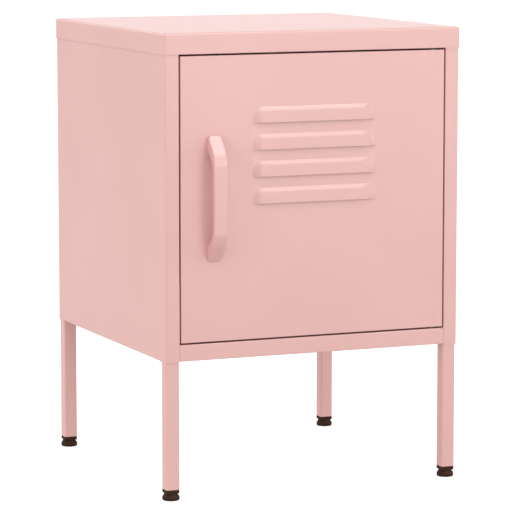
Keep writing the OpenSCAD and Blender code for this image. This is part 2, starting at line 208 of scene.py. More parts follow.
def addPiece(name, bm, body, finish, stands, wall=0.0, edge=sheetMetal["cutEdge"]):
    mesh = bpy.data.meshes.new(name)
    bm.to_mesh(mesh)
    bm.free()
    mesh.materials.append(finish)
    mesh.shade_smooth()
    piece = bpy.data.objects.new(name, mesh)
    scene.collection.objects.link(piece)
    if wall:
        skin = piece.modifiers.new("wall", "SOLIDIFY")
        skin.thickness, skin.offset = wall, -1
        skin.use_even_offset = skin.use_quality_normals = True
    if edge:
        soft = piece.modifiers.new("edge", "BEVEL")
        soft.width, soft.segments = edge, 2
        soft.limit_method, soft.angle_limit = "ANGLE", sheetMetal["sharp"]
        piece.modifiers.new("shade", "WEIGHTED_NORMAL")
    else:
        mesh.set_sharp_from_angle(angle=sheetMetal["sharp"])
    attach(piece, body)
    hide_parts(*stands)
    return piece


# Finishes

def makeGroup(name, inputs, outputs):
    group = bpy.data.node_groups.new(name, "ShaderNodeTree")
    for way, sockets in (("INPUT", inputs), ("OUTPUT", outputs)):
        for label, kind in sockets.items():
            group.interface.new_socket(name=label, in_out=way, socket_type="NodeSocket" + kind)
    return group, group.nodes.new("NodeGroupInput").outputs, group.nodes.new("NodeGroupOutput").inputs


def addNode(tree, kind, links=None, **settings):   # a node with its settings, its sockets linked or set
    node = tree.nodes.new("ShaderNode" + kind)
    for label, value in settings.items():
        setattr(node, label, value)
    for label, value in (links or {}).items():
        if isinstance(value, bpy.types.NodeSocket):
            tree.links.new(value, node.inputs[label])
        else:
            node.inputs[label].default_value = value
    return node


def mapRange(tree, value, low, high, toLow, toHigh):
    return addNode(tree, "MapRange", {"Value": value, "From Min": low, "From Max": high,
                                      "To Min": toLow, "To Max": toHigh}).outputs["Result"]


def mathNode(tree, operation, first, second):
    return addNode(tree, "Math", {0: first, 1: second}, operation=operation).outputs[0]


def mixColour(tree, factor, first, second):    # 0, 6, 7 and 2 are the colour mix's own sockets
    return addNode(tree, "Mix", {0: factor, 6: first, 7: second}, data_type="RGBA").outputs[2]


def noiseAt(tree, place, size, detail=2.0, roughness=0.5):
    return addNode(tree, "TexNoise", {"Vector": place, "Scale": size, "Detail": detail,
                                      "Roughness": roughness}).outputs["Fac"]


def buildPeelGroup():          # the fine ripple and slow drift of a baked coat or a moulded skin
    group, given, out = makeGroup(
        "peelAndDrift", {"Place": "Vector", "Ripple Size": "Float", "Drift Size": "Float"},
        {"Ripple": "Float", "Drift": "Float", "Speck": "Float"})
    ripple = noiseAt(group, given["Place"], given["Ripple Size"], 2, 0.45)
    drift = noiseAt(group, given["Place"], given["Drift Size"], 1, 0.4)
    speck = noiseAt(group, given["Place"], mathNode(group, "MULTIPLY", given["Ripple Size"], 2.7), 1, 0.5)
    group.links.new(ripple, out["Ripple"])
    group.links.new(mapRange(group, drift, 0.35, 0.65, 0, 1), out["Drift"])
    group.links.new(mapRange(group, speck, 0.62, 0.78, 0, 1), out["Speck"])
    return group


def buildEdgeGroup():          # 1 on a rounded edge, 0 on the flats
    group, given, out = makeGroup("edgeMask", {"Width": "Float"}, {"Mask": "Float"})
    soft = addNode(group, "Bevel", {"Radius": given["Width"]}, samples=4).outputs["Normal"]
    true = addNode(group, "NewGeometry").outputs["Normal"]
    same = addNode(group, "VectorMath", {0: soft, 1: true}, operation="DOT_PRODUCT").outputs["Value"]
    group.links.new(mapRange(group, same, 0.995, 0.8, 0, 1), out["Mask"])
    return group


def buildBrushGroup():         # fine lines left by rolling or turning, stretched along Z
    group, given, out = makeGroup(
        "drawnLines", {"Place": "Vector", "Line Size": "Float", "Stretch": "Float"},
        {"Lines": "Float", "Cloud": "Float"})
    factor = addNode(group, "CombineXYZ", {"X": 1, "Y": 1, "Z": given["Stretch"]}).outputs["Vector"]
    drawn = addNode(group, "VectorMath", {0: given["Place"], 1: factor}, operation="MULTIPLY")
    lines = noiseAt(group, drawn.outputs["Vector"], given["Line Size"], 3, 0.6)
    cloud = noiseAt(group, given["Place"], mathNode(group, "MULTIPLY", given["Line Size"], 0.12), 2, 0.5)
    group.links.new(lines, out["Lines"])
    group.links.new(mapRange(group, cloud, 0.35, 0.65, 0, 1), out["Cloud"])
    return group


peelGroup = buildPeelGroup()
edgeGroup = buildEdgeGroup()
brushGroup = buildBrushGroup()


def startMaterial(name, slot, fixed=None):     # a Principled material; fixed holds its plain numbers
    material = bpy.data.materials.new(name)
    material.use_nodes = True
    material["slot"] = slot
    tree = material.node_tree
    shader = tree.nodes["Principled BSDF"]
    for label, value in (fixed or {}).items():
        shader.inputs[label].default_value = value
    place = addNode(tree, "TexCoord").outputs["Object"]
    return material, tree, shader, place


def useGroup(tree, group, links):
    return addNode(tree, "Group", links, node_tree=group).outputs


def peelOn(tree, place, look):
    return useGroup(tree, peelGroup, {"Place": place, "Ripple Size": look["grainSize"],
                                      "Drift Size": look["driftSize"]})


def feedShader(tree, shader, colour, grain, look, rough=None):     # the roughness follows the grain
    if rough is None:
        rough = mapRange(tree, grain, 0.3, 0.7, *look["roughness"])
    bump = addNode(tree, "Bump", {"Strength": 1.0, "Distance": look["grainHeight"], "Height": grain})
    tree.links.new(colour, shader.inputs["Base Color"])
    tree.links.new(rough, shader.inputs["Roughness"])
    tree.links.new(bump.outputs["Normal"], shader.inputs["Normal"])


powderCoat = {
    "colour": (0.665, 0.388, 0.360, 1),
    "deeper": (0.652, 0.375, 0.348, 1),        # where the coat lies a little thicker
    "thin": (0.680, 0.450, 0.425, 1),          # along edges, where the coat draws back
    "thinShare": 0.6,
    "grainSize": 620,                          # ripples per metre
    "driftSize": 9,
    "grainHeight": 0.005 * mm,
    "roughness": (0.32, 0.38),
    "edgeWidth": 0.6 * mm,
}


def buildPowderCoat():
    look = powderCoat
    material, tree, shader, place = startMaterial("powderCoatPink", "powder_coat")
    peel = peelOn(tree, place, look)
    edge = useGroup(tree, edgeGroup, {"Width": look["edgeWidth"]})
    body = mixColour(tree, peel["Drift"], look["colour"], look["deeper"])
    thin = mathNode(tree, "MULTIPLY", edge["Mask"], look["thinShare"])
    feedShader(tree, shader, mixColour(tree, thin, body, look["thin"]), peel["Ripple"], look)
    return material


blackPlastic = {
    "colour": (0.040, 0.017, 0.010, 1),
    "scuffed": (0.060, 0.032, 0.022, 1),
    "specular": 0.08,
    "grainSize": 1500,
    "driftSize": 60,
    "grainHeight": 0.02 * mm,
    "roughness": (0.46, 0.62),
    "edgeWidth": 0.5 * mm,
}


def buildBlackPlastic():
    look = blackPlastic
    material, tree, shader, place = startMaterial("mouldedBlack", "black_plastic",
                                                  {"Specular IOR Level": look["specular"]})
    peel = peelOn(tree, place, look)
    edge = useGroup(tree, edgeGroup, {"Width": look["edgeWidth"]})
    scuff = mathNode(tree, "MULTIPLY", edge["Mask"], peel["Drift"])
    feedShader(tree, shader, mixColour(tree, scuff, look["colour"], look["scuffed"]), peel["Ripple"], look)
    return material


zincPlate = {
    "colour": (0.62, 0.64, 0.66, 1),
    "dull": (0.50, 0.52, 0.53, 1),
    "bright": (0.78, 0.79, 0.80, 1),
    "lineSize": 1800,
    "stretch": 0.15,
    "grainHeight": 0.006 * mm,
    "roughness": (0.28, 0.44),
    "edgeWidth": 0.3 * mm,
}

hingeSteel = {
    "colour": (0.52, 0.51, 0.50, 1),
    "dull": (0.42, 0.41, 0.40, 1),
    "bright": (0.70, 0.69, 0.68, 1),
    "lineSize": 1200,
    "stretch": 0.15,
    "grainHeight": 0.008 * mm,
    "roughness": (0.22, 0.38),
    "edgeWidth": 0.3 * mm,
}


def buildMetal(name, slot, look):
    material, tree, shader, place = startMaterial(name, slot, {"Metallic": 1.0})
    brush = useGroup(tree, brushGroup, {"Place": place, "Line Size": look["lineSize"],
                                        "Stretch": look["stretch"]})
    edge = useGroup(tree, edgeGroup, {"Width": look["edgeWidth"]})
    body = mixColour(tree, brush["Cloud"], look["colour"], look["dull"])
    feedShader(tree, shader, mixColour(tree, edge["Mask"], body, look["bright"]), brush["Lines"], look)
    return material


blackNylon = {
    "colour": (0.030, 0.027, 0.026, 1),
    "deeper": (0.020, 0.018, 0.018, 1),
    "specular": 0.4,
    "grainSize": 1400,
    "driftSize": 90,
    "grainHeight": 0.01 * mm,
    "roughness": (0.36, 0.50),
}


def buildBlackNylon():
    look = blackNylon
    material, tree, shader, place = startMaterial("slidingNylon", "black_nylon",
                                                  {"Specular IOR Level": look["specular"]})
    peel = peelOn(tree, place, look)
    colour = mixColour(tree, peel["Drift"], look["colour"], look["deeper"])
    feedShader(tree, shader, colour, peel["Ripple"], look)
    return material


ferrite = {
    "colour": (0.055, 0.055, 0.060, 1),
    "speck": (0.14, 0.14, 0.15, 1),
    "grainSize": 2400,
    "driftSize": 120,
    "grainHeight": 0.03 * mm,
    "roughness": (0.55, 0.75),
}


def buildFerrite():            # its roughness drifts, and its specks are a paler grey
    look = ferrite
    material, tree, shader, place = startMaterial("sinteredMagnet", "magnet")
    peel = peelOn(tree, place, look)
    colour = mixColour(tree, peel["Speck"], look["colour"], look["speck"])
    rough = mapRange(tree, peel["Drift"], 0, 1, *look["roughness"])
    feedShader(tree, shader, colour, peel["Ripple"], look, rough)
    return material


pinkCoat = buildPowderCoat()
blackMould = buildBlackPlastic()
zinc = buildMetal("zincPlate", "zinc_steel", zincPlate)
pinSteel = buildMetal("hingeSteel", "hinge_steel", hingeSteel)
nylon = buildBlackNylon()
magnetBlack = buildFerrite()
print("finishes made")

# Places shared by several pieces, all taken from the boxes of the parts in model.glb
wall = sheetMetal["thickness"]
lidLow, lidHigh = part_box("top_panel")
sideLow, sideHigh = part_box("left_side_panel")
backLow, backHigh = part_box("back_panel")
floorLow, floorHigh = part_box("bottom_panel")
doorLow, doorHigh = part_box("door_panel")
frontY = sideLow.y             # the plane of the door's face and of the strips beside it
foldDepth = doorHigh.y - frontY

lidLook = {"corner": 2.6 * mm, "cornerSegments": 5, "returnBend": 0.8 * mm}


def buildLid():
    catchLow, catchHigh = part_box("catch_housing")
    between = (-backHigh.x, backHigh.x)
    bm = panShape(lidLow, lidHigh, lidLook["corner"], lidLook["cornerSegments"])
    cutAt(bm, "x", -backHigh.x, catchLow.x, catchHigh.x, backHigh.x)
    foldOut(bm, pick(bm.edges, y=lidLow.y, z=lidLow.z, x=between), (0, doorHigh.y - lidLow.y, 0))
    tab = pick(bm.edges, y=doorHigh.y, z=lidLow.z, x=(catchLow.x, catchHigh.x))
    foldOut(bm, tab, (0, catchHigh.y - doorHigh.y, 0))
    roundEdges(bm, pick(bm.edges, y=lidLow.y, z=lidLow.z, x=between), lidLook["returnBend"])
    faceTowards(bm, (0, 0, 1))
    addPiece("lidShell", bm, "cabinet", pinkCoat, ["top_panel"], wall)


sideLook = {"bend": 1.8 * mm, "innerBend": 0.6 * mm, "cornerCut": 1.6 * mm, "room": 1 * mm}


def buildSide(name, node, side):   # side is -1 on the left and 1 on the right
    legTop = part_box("front_left_leg")[1].z + sideLook["room"]
    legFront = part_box("front_left_leg")[1].y + 2 * sideLook["room"]
    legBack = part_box("rear_left_leg")[0].y - 2 * sideLook["room"]
    inner, outer, z0, z1 = sideHigh.x, sideLow.x, sideLow.z, sideHigh.z
    path = [(inner, sideLow.y + foldDepth, z0), (inner, sideLow.y, z0), (outer, sideLow.y, z0),
            (outer, sideHigh.y, z0), (inner, sideHigh.y, z0), (inner, sideHigh.y - foldDepth, z0)]
    bm = runStrip(path, (0, 0, z1 - z0))
    cutAt(bm, "z", legTop)
    bmesh.ops.delete(bm, geom=pick(bm.faces, x=inner, z=(z0, legTop)), context="FACES")
    upper = (sideLow.y + foldDepth + sideLook["room"], sideHigh.y - foldDepth - sideLook["room"])
    cutAt(bm, "y", *upper, legFront, legBack)
    foldOut(bm, pick(bm.edges, x=outer, z=z1, y=upper), (inner - outer, 0, 0))
    foldOut(bm, pick(bm.edges, x=outer, z=z0, y=(legFront, legBack)), (inner - outer, 0, 0))
    roundEdges(bm, folds(pick(bm.edges, x=inner)), sideLook["innerBend"])
    roundEdges(bm, folds(pick(bm.edges, x=outer)), sideLook["bend"])
    feet = pick(bm.verts, x=inner, z=z0, y=sideLow.y) + pick(bm.verts, x=inner, z=z0, y=sideHigh.y)
    roundCorners(bm, feet, sideLook["cornerCut"], 1)
    bmesh.ops.scale(bm, verts=bm.verts[:], vec=(-side, 1, 1))
    faceTowards(bm, (side, 0, 0))
    addPiece(name, bm, "cabinet", pinkCoat, [node], wall)


def buildBack():
    low, high = backLow, backHigh
    y0 = high.y - foldDepth
    flat = (low.x + 2 * sheetMetal["bend"], high.x - 2 * sheetMetal["bend"])
    bm = runStrip([(low.x, y0, low.z), (low.x, high.y, low.z), (high.x, high.y, low.z),
                   (high.x, y0, low.z)], (0, 0, high.z - low.z))
    cutAt(bm, "x", *flat)
    foldOut(bm, pick(bm.edges, y=high.y, z=high.z, x=flat), (0, -foldDepth, 0))
    roundEdges(bm, folds(bm.edges), sheetMetal["bend"])
    faceTowards(bm, (0, 1, 0))
    addPiece("backShell", bm, "cabinet", pinkCoat, ["back_panel"], wall)


floorLook = {"room": 0.2 * mm}     # kept between the floor's edges, the legs and the rear folds


def buildFloor():
    low, high, room = floorLow, floorHigh, floorLook["room"]
    y0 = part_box("front_left_leg")[1].y + room
    y1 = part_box("rear_left_leg")[0].y - room
    rearHalf = backHigh.x - wall - room
    bm = runStrip([(low.x, y0, high.z), (high.x, y0, high.z)], (0, y1 - y0, 0))
    cutAt(bm, "x", -backHigh.x, -rearHalf, rearHalf, backHigh.x)
    front = foldOut(bm, pick(bm.edges, y=y0, x=(-backHigh.x, backHigh.x)), (0, frontY - y0, 0))
    front = [e for e in front if abs(e.verts[0].co.x - e.verts[1].co.x) > room]
    lip = foldOut(bm, front, (0, 0, backLow.z - high.z))
    foldOut(bm, lip, (0, foldDepth, 0))
    rear = foldOut(bm, pick(bm.edges, y=y1, x=(-rearHalf, rearHalf)), (0, high.y - y1, 0))
    foldOut(bm, rear, (0, 0, backLow.z - high.z))
    for x in (low.x, high.x):
        edge = foldOut(bm, pick(bm.edges, x=x, y=(y0, y1)), (0, 0, low.z - high.z))
        foldOut(bm, edge, (math.copysign(abs(x) - abs(sideHigh.x), -x), 0, 0))
    roundEdges(bm, folds(bm.edges), sheetMetal["bend"])
    faceTowards(bm, (0, 0, 1))
    addPiece("floorPan", bm, "cabinet", pinkCoat, ["bottom_panel"], wall)


shelfLook = {"bend": 1.4 * mm}


def buildShelf():
    bm = panShape(*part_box("shelf"), shelfLook["bend"])
    faceTowards(bm, (0, 0, 1))
    addPiece("shelfPan", bm, "cabinet", pinkCoat, ["shelf"], wall)


angleLook = {
    "width": 18 * mm,
    "reach": 13 * mm,
    "wall": 1.5 * mm,
    "corner": 2.5 * mm,
    "bend": 2.2 * mm,
}


def buildShelfAngles():        # four angles under the shelf's ends, spot-welded to the sides
    low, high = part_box("shelf_brackets")
    look = angleLook
    parts = []
    for x in (low.x, high.x):
        inwards = math.copysign(look["reach"], -x)
        for y in (low.y, high.y - look["width"]):
            bm = runStrip([(x, y, low.z), (x, y, high.z), (x + inwards, y, high.z)], (0, look["width"], 0))
            roundCorners(bm, pick(bm.verts, z=low.z) + pick(bm.verts, x=x + inwards), look["corner"])
            roundEdges(bm, folds(bm.edges), look["bend"])
            faceTowards(bm, (0, 0, 1))
            parts.append(bm)
    addPiece("shelfAngles", gathered(parts), "cabinet", pinkCoat, ["shelf_brackets"], look["wall"])


buildLid()
buildSide("leftSideShell", "left_side_panel", -1)
buildSide("rightSideShell", "right_side_panel", 1)
buildBack()
buildFloor()
buildShelf()
buildShelfAngles()
print("body panels folded")

legLook = {"wall": 1 * mm, "corner": 1.5 * mm, "cornerSegments": 5}


def squareBar(low, high, corner, segments):    # an upright bar with rounded corners, open at both ends
    bm = bmesh.new()
    bmesh.ops.create_grid(bm, x_segments=1, y_segments=1, size=0.5)
    bmesh.ops.scale(bm, verts=bm.verts[:], vec=high - low)
    standIn(bm, low, high)
    roundCorners(bm, bm.verts[:], corner, segments)
    bmesh.ops.delete(bm, geom=bm.faces[:], context="FACES_ONLY")
    foldOut(bm, bm.edges[:], (0, 0, high.z - low.z))
    return bm


def buildLeg(name, node):
    low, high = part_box(node)
    bm = squareBar(low, high, legLook["corner"], legLook["cornerSegments"])
    faceTowards(bm, (0, -1, 0))
    addPiece(name, bm, "cabinet", pinkCoat, [node], legLook["wall"])


plugLook = {
    "collar": 4 * mm,
    "corner": 1.5 * mm,
    "cornerSegments": 4,
    "shrink": 1.05 * mm,       # how much smaller the body is than the collar, on each side
    "levels": 5,               # grooves and ribs up the body
    "rib": 0.35 * mm,
    "edge": 0.35 * mm,
}


def buildPlug(name, node):     # collar under the tube, then a ribbed body that grips its inside
    low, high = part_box(node)
    look, centre = plugLook, (low + high) / 2
    bm = squareBar(low, Vector((high.x, high.y, low.z + look["collar"])), look["corner"],
                   look["cornerSegments"])
    ends = bmesh.ops.holes_fill(bm, edges=[e for e in bm.edges if e.is_boundary], sides=0)["faces"]
    body = pick(ends, z=low.z + look["collar"])
    bmesh.ops.inset_region(bm, faces=body, thickness=look["shrink"], use_even_offset=True)
    height = (high.z - low.z - look["collar"]) / look["levels"]
    for level in range(look["levels"]):
        body = pressOut(bm, body, (0, 0, height))
        pinch = 1 - (-1) ** level * 2 * look["rib"] / (high.x - low.x)
        bmesh.ops.scale(bm, verts=cornersOf(body), vec=(pinch, pinch, 1),
                        space=Matrix.Translation(-centre))
    faceOut(bm)
    addPiece(name, bm, "cabinet", blackMould, [node], edge=look["edge"])


footLook = {
    "grips": 18,
    "gripDepth": 0.3 * mm,
    "hub": 7.7 * mm,           # radius of the neck round the stud
    "hubRound": 0.4 * mm,
    "rimRound": 3.2 * mm,
    "rimSteps": 5,
    "heel": 0.9 * mm,          # rounding of the rim's lower edge
    "hollow": 0.5 * mm,        # depth of the sole, inside its tread
    "hollowEdge": 4.2 * mm,    # how far the tread reaches in from the rim
    "treadEdge": 3.6 * mm,
}


def buildFootPad(name, node, body):    # a round pad with a softly ribbed rim, wider than its hub
    low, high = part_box(node)
    look = footLook
    radius, height = (high.x - low.x) / 2, high.z - low.z
    rim, hub, heel, hubRound = look["rimRound"], look["hub"], look["heel"], look["hubRound"]
    step = math.acos((hub - radius + rim) / rim) / look["rimSteps"]
    arc = [(radius - rim + rim * math.cos(step * i), rim + rim * math.sin(step * i))
           for i in range(look["rimSteps"] + 1)]
    profile = [(0, look["hollow"]), (radius - look["hollowEdge"], look["hollow"]),
               (radius - look["treadEdge"], 0), (radius - 2 * heel, 0),
               (radius - 0.8 * heel, 0.3 * heel), (radius - 0.2 * heel, heel), *arc,
               (hub, height - hubRound), (hub - hubRound, height), (0, height)]
    bm = turned(profile, look["grips"] * 4)
    for v in bm.verts:         # shallow finger grips round the rim
        if v.co.xy.length > hub + slack and v.co.z > heel / 2:
            wave = 0.5 - 0.5 * math.cos(look["grips"] * math.atan2(v.co.y, v.co.x))
            v.co.xy *= 1 - look["gripDepth"] / radius * wave
    standIn(bm, low, high)
    addPiece(name, bm, body, blackMould, [node], edge=0)


footThreadLook = {"plain": 2.8 * mm, "start": 3 * mm, "endRoom": 0.8 * mm, "pitch": 1.25 * mm,
                  "tip": 0.9 * mm}


def buildFootThread(name, node, body):
    low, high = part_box(node)
    look, radius, height = footThreadLook, (high.x - low.x) / 2, high.z - low.z
    rings = threadProfile(radius, look["start"], height - look["endRoom"], look["pitch"])
    bm = turned([(0, 0), (radius, 0), (radius, look["plain"]), *rings,
                 (radius - look["tip"], height), (0, height)], 28)
    standIn(bm, low, high)
    addPiece(name, bm, body, zinc, [node], edge=0)


for corner in ("front_left", "front_right", "rear_left", "rear_right"):
    first, second = corner.split("_")
    label = first + second.capitalize()
    buildLeg(label + "Leg", corner + "_leg")
    buildPlug(label + "LegPlug", corner + "_plug")
    buildFootPad(label + "FootPad", corner + "_foot", corner + "_levelling_foot")
    buildFootThread(label + "FootThread", corner + "_foot_stud", corner + "_levelling_foot")
print("legs and levelling feet made")

nutLook = {                    # the first four are multiples of the thread's radius
    "flange": 2.3,
    "hexagon": 1.85,
    "height": 1.8,
    "bore": 1.02,
    "flangeHeight": 1.2 * mm,
    "chamfer": 0.25 * mm,
}


def flangeNut(radius):         # the seat is at z = 0
    flange, across, bore, top = (nutLook[key] * radius for key in ("flange", "hexagon", "bore", "height"))
    seat = nutLook["flangeHeight"]
    washer = turned([(bore, 0), (flange, 0), (flange, 0.6 * seat), (across * 0.9, seat), (bore, seat)],
                    24, closed=True)
    bm = bmesh.new()
    bmesh.ops.create_circle(bm, segments=6, radius=across, cap_ends=False)
    bmesh.ops.subdivide_edges(bm, edges=bm.edges[:], cuts=3, use_grid_fill=False)
    bmesh.ops.create_circle(bm, segments=24, radius=bore, cap_ends=False)
    bmesh.ops.bridge_loops(bm, edges=bm.edges[:])
    made = bmesh.ops.extrude_face_region(bm, geom=bm.faces[:])
    bmesh.ops.translate(bm, verts=newVerts(made), vec=(0, 0, top - 0.5 * seat))
    shift(bm, (0, 0, 0.5 * seat))
    faceOut(bm)
    rim = [e for e in pick(folds(bm.edges), z=top) if all(v.co.xy.length > bore * 1.2 for v in e.verts)]
    roundEdges(bm, rim, nutLook["chamfer"], 1)
    return gathered([washer, bm])


studLook = {
    "weld": 1.25,              # of the bead and the tip, as shares of the radius
    "tip": 0.72,
    "weldHeight": 0.5 * mm,
    "neckHeight": 1.0 * mm,
    "threadStart": 1.2 * mm,
    "threadEnd": 0.6 * mm,     # short of the tip
    "pitch": 0.8 * mm,
}


def studShape(radius, length):
    look = studLook
    rings = threadProfile(radius, look["threadStart"], length - look["threadEnd"], look["pitch"])
    return turned([(0, 0), (radius * look["weld"], 0), (radius * look["weld"], look["weldHeight"]),
                   (radius, look["neckHeight"]), *rings, (radius * look["tip"], length), (0, length)], 24)


screwLook = {                  # plain numbers are multiples of the thread's radius
    "head": 2.0,
    "headHeight": 2.2 * mm,
    "face": 0.72,              # the flat round the cross, as a share of the head
    "brow": 0.92,
    "slot": 0.28,
    "slotReach": 1.05,
    "slotDepth": 1.1 * mm,
    "slotTaper": 0.7,
    "threadStart": 0.4 * mm,
    "pitch": 0.9 * mm,
    "point": 0.15,
}


def panHeadScrew(radius, length):      # the head's underside is at z = 0 and the shank runs along +Z
    look = screwLook
    head, high = look["head"] * radius, look["headHeight"]
    half, reach = look["slot"] * radius, look["slotReach"] * radius
    bm = bmesh.new()
    bmesh.ops.create_grid(bm, x_segments=1, y_segments=1, size=half)
    for turn in range(4):      # a cross: the square's four sides pulled out
        way = Vector((math.cos(turn * math.pi / 2), math.sin(turn * math.pi / 2), 0))
        side = [e for e in bm.edges if e.is_boundary and
                ((e.verts[0].co + e.verts[1].co) / 2 - way * half).length < 0.1 * half]
        foldOut(bm, side, way * (reach - half))
    crossFaces = bm.faces[:]
    crossEdges = [e for e in bm.edges if e.is_boundary]
    last, height = head * look["face"], 0.0
    ring = bmesh.ops.create_circle(bm, segments=24, radius=last, cap_ends=False)["verts"]
    loop = [e for e in bm.edges if e.verts[0] in ring]
    bmesh.ops.bridge_loops(bm, edges=crossEdges + loop)
    well = newVerts(bmesh.ops.extrude_face_region(bm, geom=crossFaces))
    bmesh.ops.delete(bm, geom=crossFaces, context="FACES")
    bmesh.ops.translate(bm, verts=well, vec=(0, 0, look["slotDepth"]))
    bmesh.ops.scale(bm, verts=well, vec=(look["slotTaper"], look["slotTaper"], 1))
    rings = [(head * look["brow"], 0.3 * high), (head, 0.6 * high), (head, high), (radius, high)]
    thread = threadProfile(radius, look["threadStart"], length - radius, look["pitch"])
    rings += [(r, z + high) for r, z in thread] + [(radius * look["point"], length + high)]
    for size, level in rings:  # the outline of the head, shank and tip, ring by ring
        loop = foldOut(bm, loop, (0, 0, level - height))
        bmesh.ops.scale(bm, verts=cornersOf(loop), vec=(size / last, size / last, 1))
        last, height = size, level
    bmesh.ops.holes_fill(bm, edges=loop, sides=0)
    faceOut(bm)
    shift(bm, (0, 0, -high))
    return bm


def spots(xs, ys, zs):         # every combination of the places given
    return [(x, y, z) for x in xs for y in ys for z in zs]


def addFasteners(name, node, body, makeShape, places):
    parts = [placed(makeShape(), at, along) for at, along in places]
    addPiece(name, gathered(parts), body, zinc, [node], edge=0)


fastenerLook = {               # radius of each thread, and what its node's box doesn't say
    "legStud": 2.5 * mm,
    "legStudLength": 22 * mm,
    "lidStud": 2 * mm,
    "lidRow": 220 * mm,        # between the studs at the sides, front to back
    "floorScrew": 1.95 * mm,
    "backScrew": 1.45 * mm,
    "backScrewLength": 6 * mm,
    "catchScrew": 1.45 * mm,
    "handleScrew": 1.95 * mm,
}


def fixLegs():
    low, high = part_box("leg_studs")
    nutLow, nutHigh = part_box("leg_nuts")
    radius, length = fastenerLook["legStud"], fastenerLook["legStudLength"]
    xs, zs = (low.x + radius, high.x - radius), (low.z + radius, high.z - radius)

    def facing(front, rear):
        return ([(p, (0, 1, 0)) for p in spots(xs, [front], zs)] +
                [(p, (0, -1, 0)) for p in spots(xs, [rear], zs)])

    addFasteners("legStuds", "leg_studs", "cabinet", lambda: studShape(radius, length),
                 facing(low.y, high.y))
    addFasteners("legFlangeNuts", "leg_nuts", "cabinet", lambda: flangeNut(radius),
                 facing(nutLow.y, nutHigh.y))


def fixLidAndFloor():          # the floor's screws are in line below the lid's side studs
    low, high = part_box("lid_studs")
    radius, screw = fastenerLook["lidStud"], fastenerLook["floorScrew"]
    middle, reach = (lidLow.y + lidHigh.y) / 2, fastenerLook["lidRow"] / 2
    corners = spots((low.x + radius, high.x - radius), (middle - reach, middle + reach), [high.z])
    rearPair = spots((-lidHigh.x / 2, lidHigh.x / 2), [high.y - radius], [high.z])
    down = [(p, (0, 0, -1)) for p in corners + rearPair]
    addFasteners("lidStuds", "lid_studs", "cabinet", lambda: studShape(radius, high.z - low.z), down)
    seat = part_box("lid_nuts")[1].z
    under = [((x, y, seat), way) for (x, y, z), way in down]
    addFasteners("lidFlangeNuts", "lid_nuts", "cabinet", lambda: flangeNut(radius), under)

    low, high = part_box("bottom_screws")
    start = low.z + screwLook["headHeight"]
    addFasteners("floorScrews", "bottom_screws", "cabinet", lambda: panHeadScrew(screw, high.z - start),
                 [((x, y, start), (0, 0, 1)) for x, y, z in corners])


def fixBack():
    low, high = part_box("back_screws")
    radius, length = fastenerLook["backScrew"], fastenerLook["backScrewLength"]
    y, zs = (low.y + high.y) / 2, (low.z + 2 * radius, (low.z + high.z) / 2, high.z - 2 * radius)
    outwards = [((side * (high.x - length), y, z), (side, 0, 0)) for side in (-1, 1) for z in zs]
    addFasteners("backScrews", "back_screws", "cabinet", lambda: panHeadScrew(radius, length), outwards)


fixLegs()
fixLidAndFloor()
fixBack()
print("body fasteners made")

catchLook = {"corner": 2.0 * mm, "edge": 0.5 * mm, "room": 0.1 * mm}


def buildCatch():
    low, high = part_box("catch_housing")
    plateLow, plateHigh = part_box("catch_plates")
    across = (plateLow.x - catchLook["room"], plateHigh.x + catchLook["room"])
    bm = boxShape(low, high)
    cutAt(bm, "x", *across)
    cutAt(bm, "z", plateLow.z, plateHigh.z)
    mouth = pick(bm.faces, y=low.y, x=across, z=(plateLow.z, plateHigh.z))
    pressOut(bm, mouth, (0, plateHigh.y - low.y, 0))
    upright = [e for e in folds(bm.edges) if (pick([e], x=low.x) or pick([e], x=high.x)) and
               abs(e.verts[0].co.y - e.verts[1].co.y) < slack]
    roundEdges(bm, upright, catchLook["corner"], 4)
    faceOut(bm)
    addPiece("catchCase", bm, "cabinet", blackMould, ["catch_housing"], edge=catchLook["edge"])

    low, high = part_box("catch_screws")
    radius, start = fastenerLook["catchScrew"], low.z + screwLook["headHeight"]
    y = (low.y + high.y) / 2
    up = [((x, y, start), (0, 0, 1)) for x in (low.x + 2 * radius, high.x - 2 * radius)]
    addFasteners("catchScrews", "catch_screws", "cabinet", lambda: panHeadScrew(radius, high.z - start), up)


buildCatch()
print("magnetic catch made")

pinLow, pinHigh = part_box("lower_hinge_pin")
pivot = Vector(((pinLow.x + pinHigh.x) / 2, (pinLow.y + pinHigh.y) / 2, 0))
hingeLook = {
    "pin": 3 * mm,             # radius
    "chamfer": 0.6 * mm,
    "pinHead": 2.5 * mm,       # height of the lower pin's head
    "headDome": 0.7 * mm,
    "clipGroove": 0.5 * mm,
    "bushWall": 0.6 * mm,      # how far a bush's flange stands out from its neck
    "bushFlange": 1.5 * mm,
    "bushRound": 0.3 * mm,
    "bushRoom": 0.05 * mm,
    "bracketCorner": 3 * mm,
    "bracketBend": 2.4 * mm,
    "bracketWall": 1.5 * mm,
}
pinRadius = hingeLook["pin"]


def buildBush(name, node, body):
    low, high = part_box(node)
    outer, height = (high.x - low.x) / 2, high.z - low.z
    neck, bore = outer - hingeLook["bushWall"], pinRadius + hingeLook["bushRoom"]
    flange, soft = hingeLook["bushFlange"], hingeLook["bushRound"]
    profile = [(bore + soft, 0), (outer - soft, 0), (outer, soft), (outer, flange - soft),
               (outer - soft, flange), (neck, flange), (neck, height - 2 * soft), (neck - 2 * soft, height),
               (bore + soft, height), (bore, height - soft), (bore, soft)]
    bm = placed(turned(profile, 40, closed=True), (pivot.x, pivot.y, low.z))
    addPiece(name, bm, body, nylon, [node], edge=0)


